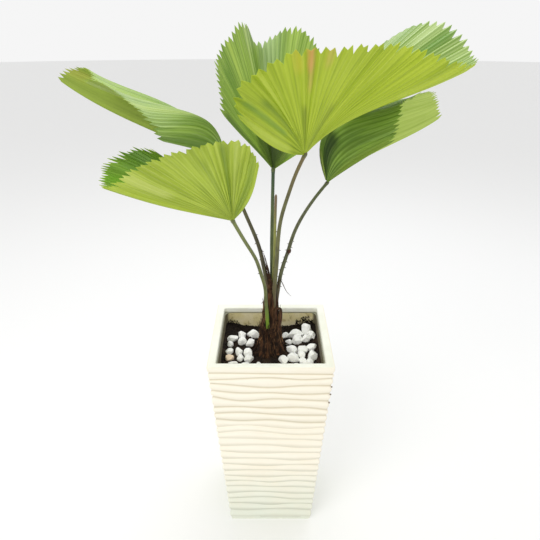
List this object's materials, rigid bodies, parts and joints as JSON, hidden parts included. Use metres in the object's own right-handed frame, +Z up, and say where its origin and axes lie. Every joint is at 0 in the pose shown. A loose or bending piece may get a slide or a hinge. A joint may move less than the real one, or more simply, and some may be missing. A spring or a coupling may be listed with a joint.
{
  "type": "potted fan palm",
  "caption": "Fan palm with pleated, notched fan leaves on slender stalks from a fibrous stem, in a tall tapered square planter with wavy slatted sides, filled with soil and pebbles.",
  "frame": {"origin": "middle of the planter's flat base, on the ground", "axes": "+Z up along the planter and the stem; -Y out of the planter's front face; +X to the right seen from the front"},
  "size_m": [1.0017, 0.6039, 1.4066],
  "materials": {
    "planter": "matt cream white, cast, weathered",
    "soil": "dark crumbly potting soil",
    "stem": "rough brown fibre",
    "fresh_stalk": "satin fresh green",
    "old_stalk": "satin olive brown",
    "pale_leaf": "satin yellow-green, ribbed",
    "dark_leaf": "satin green, ribbed, paler underneath",
    "pebble": "matt white stone"
  },
  "bodies": {
    "root": {"planter": "planter", "soil": "soil", "stem": "stem", "cut_stalk": "old_stalk", "stalk_front_right": "old_stalk", "blade_front_right": "pale_leaf", "stalk_front_left": "fresh_stalk", "blade_front_left": "pale_leaf", "stalk_back_middle": "old_stalk", "blade_back_middle": "dark_leaf", "stalk_far_left": "old_stalk", "blade_far_left": "dark_leaf", "stalk_far_right": "old_stalk", "blade_far_right": "dark_leaf", "pebble_01": "pebble", "pebble_02": "pebble", "pebble_03": "pebble", "pebble_04": "pebble", "pebble_05": "pebble", "pebble_06": "pebble", "pebble_07": "pebble", "pebble_08": "pebble", "pebble_09": "pebble", "pebble_10": "pebble", "pebble_11": "pebble", "pebble_12": "pebble", "pebble_13": "pebble", "pebble_14": "pebble", "pebble_15": "pebble", "pebble_16": "pebble", "pebble_17": "pebble", "pebble_18": "pebble", "pebble_19": "pebble", "pebble_20": "pebble", "pebble_21": "pebble", "pebble_22": "pebble", "pebble_23": "pebble", "pebble_24": "pebble", "pebble_25": "pebble", "pebble_26": "pebble", "pebble_27": "pebble", "pebble_28": "pebble", "pebble_29": "pebble", "pebble_30": "pebble", "pebble_31": "pebble", "pebble_32": "pebble", "pebble_33": "pebble", "pebble_34": "pebble"}
  },
  "joints": []
}
